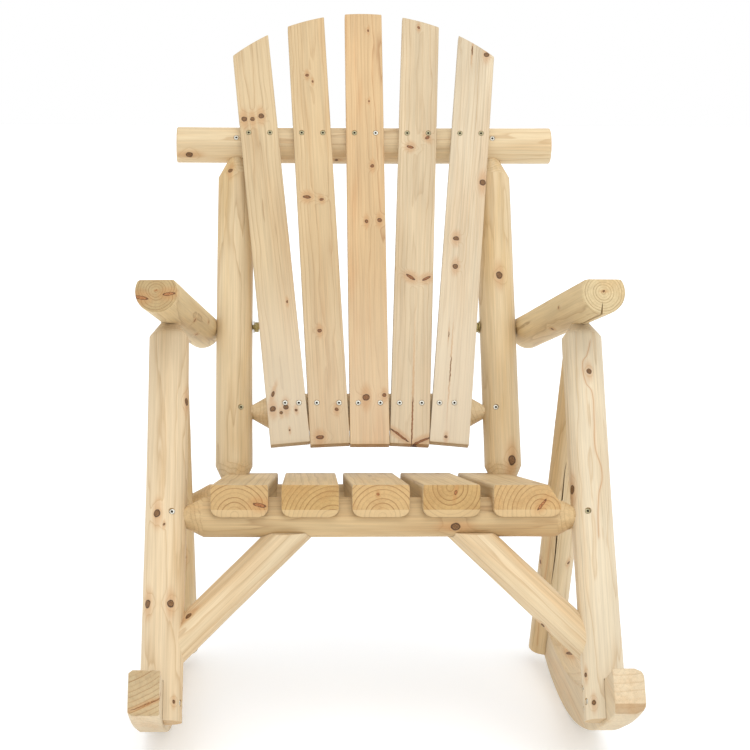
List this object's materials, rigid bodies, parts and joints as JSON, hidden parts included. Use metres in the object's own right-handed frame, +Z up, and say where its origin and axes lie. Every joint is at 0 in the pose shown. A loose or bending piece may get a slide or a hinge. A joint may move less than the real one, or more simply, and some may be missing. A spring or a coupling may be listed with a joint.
{
  "type": "rocking chair",
  "caption": "Rustic log rocking chair with a fanned slatted back, slatted seat, log armrests and two curved rockers.",
  "frame": {"origin": "on the floor, under the middle of the chair's outline, with the chair at rest and leaning back as it stands when nobody sits in it", "axes": "+Z up, -Y the way the sitter faces, +X the right side as seen from the front; left and right in node names are also as seen from the front"},
  "size_m": [0.6488, 0.8436, 1.0122],
  "materials": {
    "peeled_log": "peeled fir log, sanded, no varnish",
    "planed_board": "planed fir board, unvarnished",
    "zinc_steel": "zinc plated"
  },
  "bodies": {
    "root": {"rocker_left": "peeled_log", "rocker_right": "peeled_log", "front_leg_left": "peeled_log", "front_leg_right": "peeled_log", "rear_leg_left": "peeled_log", "rear_leg_right": "peeled_log", "armrest_left": "peeled_log", "armrest_right": "peeled_log", "back_post_left": "peeled_log", "back_post_right": "peeled_log", "brace_left": "peeled_log", "brace_right": "peeled_log", "seat_front_rail": "peeled_log", "seat_rear_rail": "peeled_log", "top_rail": "peeled_log", "lower_back_rail": "peeled_log", "seat_slat_1": "planed_board", "seat_slat_2": "planed_board", "seat_slat_3": "planed_board", "seat_slat_4": "planed_board", "seat_slat_5": "planed_board", "back_slat_1": "planed_board", "back_slat_2": "planed_board", "back_slat_3": "planed_board", "back_slat_4": "planed_board", "back_slat_5": "planed_board", "arm_bolt_left": "zinc_steel", "arm_bolt_right": "zinc_steel", "arm_washer_left": "zinc_steel", "arm_washer_right": "zinc_steel", "arm_nut_left": "zinc_steel", "arm_nut_right": "zinc_steel", "top_rail_screw_left": "zinc_steel", "top_rail_screw_right": "zinc_steel", "lower_rail_screw_left": "zinc_steel", "lower_rail_screw_right": "zinc_steel", "front_rail_screw_left": "zinc_steel", "front_rail_screw_right": "zinc_steel", "rocker_screw_left": "zinc_steel", "rocker_screw_right": "zinc_steel", "slat_screw_lower_1a": "zinc_steel", "slat_screw_lower_1b": "zinc_steel", "slat_screw_lower_2a": "zinc_steel", "slat_screw_lower_2b": "zinc_steel", "slat_screw_lower_3a": "zinc_steel", "slat_screw_lower_3b": "zinc_steel", "slat_screw_lower_4a": "zinc_steel", "slat_screw_lower_4b": "zinc_steel", "slat_screw_lower_5a": "zinc_steel", "slat_screw_lower_5b": "zinc_steel", "slat_screw_upper_1a": "zinc_steel", "slat_screw_upper_1b": "zinc_steel", "slat_screw_upper_2a": "zinc_steel", "slat_screw_upper_2b": "zinc_steel", "slat_screw_upper_3a": "zinc_steel", "slat_screw_upper_3b": "zinc_steel", "slat_screw_upper_4a": "zinc_steel", "slat_screw_upper_4b": "zinc_steel", "slat_screw_upper_5a": "zinc_steel", "slat_screw_upper_5b": "zinc_steel"}
  },
  "joints": []
}
